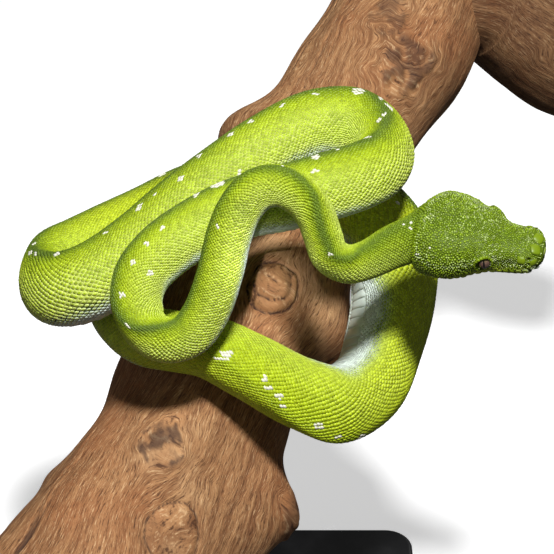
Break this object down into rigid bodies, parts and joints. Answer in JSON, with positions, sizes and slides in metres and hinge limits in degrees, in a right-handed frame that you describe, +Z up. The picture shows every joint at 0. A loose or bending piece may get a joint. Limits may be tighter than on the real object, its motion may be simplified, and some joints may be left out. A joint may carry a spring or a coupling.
{
  "type": "coiled green tree python",
  "caption": "Coiled green tree python as a still life-size display model, draped over a cut length of driftwood branch on a plain rod stand.",
  "frame": {"origin": "middle of the underside of the stand's base plate, on the surface it stands on", "axes": "+Z up; -Y is the front, where the head and the coils face; +X is to the right seen from the front, the way the head points"},
  "size_m": [0.2744, 0.3061, 0.2826],
  "materials": {
    "snake_skin": "small keeled-looking diamond scales, vivid yellow-green with a darker back, pale belly and scattered white scales, soft sheen",
    "snake_eye": "clear glossy eye with a pale brown iris and a vertical slit pupil",
    "driftwood": "dry bare driftwood, swirling grain with knots and cracks, matte",
    "stand_metal": "fine satin black powder coat"
  },
  "bodies": {
    "root": {"head": "snake_skin", "neck_1": "snake_skin", "neck_2": "snake_skin", "neck_3": "snake_skin", "body_1": "snake_skin", "body_2": "snake_skin", "body_3": "snake_skin", "body_4": "snake_skin", "body_5": "snake_skin", "body_6": "snake_skin", "body_7": "snake_skin", "body_8": "snake_skin", "body_9": "snake_skin", "body_10": "snake_skin", "body_11": "snake_skin", "body_12": "snake_skin", "body_13": "snake_skin", "body_14": "snake_skin", "body_15": "snake_skin", "body_16": "snake_skin", "body_17": "snake_skin", "body_18": "snake_skin", "body_19": "snake_skin", "body_20": "snake_skin", "body_21": "snake_skin", "body_22": "snake_skin", "body_23": "snake_skin", "body_24": "snake_skin", "tail_1": "snake_skin", "tail_2": "snake_skin", "tail_3": "snake_skin", "tail_4": "snake_skin", "eye_left": "snake_eye", "eye_right": "snake_eye", "perch": "driftwood", "perch_limb": "driftwood", "stand_base": "stand_metal", "stand_rod_1": "stand_metal", "stand_rod_2": "stand_metal"}
  },
  "joints": []
}
